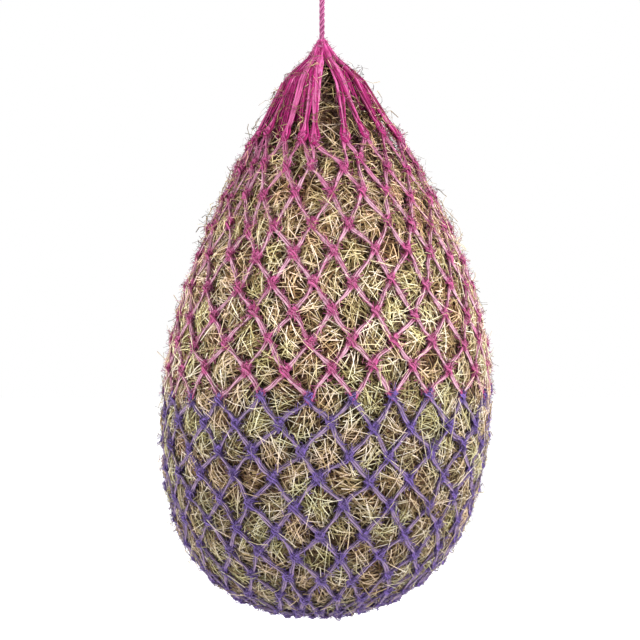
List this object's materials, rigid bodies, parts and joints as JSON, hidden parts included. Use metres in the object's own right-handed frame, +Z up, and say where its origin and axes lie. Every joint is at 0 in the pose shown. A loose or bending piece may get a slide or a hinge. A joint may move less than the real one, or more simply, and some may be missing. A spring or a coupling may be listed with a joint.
{
  "type": "hay net",
  "caption": "Filled knotted hay net, pink above and purple below, gathered on a draw rope that hangs from a steel ring; it holds hay off the ground for a horse to pull through the meshes.",
  "frame": {"origin": "top of the inside of the hanging ring's hole, where a hook bears, on the object's hang line", "axes": "+Z up along the hang line; X across the ring and across the front of the net; -Y is the front"},
  "size_m": [0.5225, 0.5226, 1.1062],
  "materials": {
    "pink_twine": "soft multifilament polypropylene twine, slightly fuzzy, satin",
    "purple_twine": "soft multifilament polypropylene twine, slightly fuzzy, satin",
    "pink_rope": "three-strand laid rope, soft, satin",
    "hay": "dry meadow hay, matt, pale stems over dark gaps",
    "galvanised_steel": "dull galvanised wire"
  },
  "bodies": {
    "ring": {"hanging_ring": "galvanised_steel"},
    "eye": {"rope_eye": "pink_rope", "eye_knot": "pink_rope"},
    "rope": {"draw_rope": "pink_rope"},
    "bag": {"rope_noose": "pink_rope", "mouth_loops": "pink_twine", "pink_course_01": "pink_twine", "pink_course_02": "pink_twine", "pink_course_03": "pink_twine", "pink_course_04": "pink_twine", "pink_course_05": "pink_twine", "pink_course_06": "pink_twine", "pink_course_07": "pink_twine", "pink_course_08": "pink_twine", "pink_course_09": "pink_twine", "purple_course_01": "purple_twine", "purple_course_02": "purple_twine", "purple_course_03": "purple_twine", "purple_course_04": "purple_twine", "purple_course_05": "purple_twine", "purple_course_06": "purple_twine", "purple_course_07": "purple_twine", "purple_course_08": "purple_twine", "purple_course_09": "purple_twine", "purple_course_10": "purple_twine", "purple_course_11": "purple_twine", "hay_fill": "hay", "base_ring": "galvanised_steel"}
  },
  "joints": [
    {"name": "eye_swing", "type": "hinge", "parent": "ring", "child": "eye", "pos_m": [0, 0, -0.05], "axis": [1, 0, 0], "range_deg": [-40, 40]},
    {"name": "rope_twist", "type": "hinge", "parent": "eye", "child": "rope", "pos_m": [0, 0, -0.116], "axis": [0, 0, 1], "range_deg": [-180, 180]},
    {"name": "bag_tilt", "type": "hinge", "parent": "rope", "child": "bag", "pos_m": [0, 0, -0.188], "axis": [0, 1, 0], "range_deg": [-25, 25]}
  ]
}
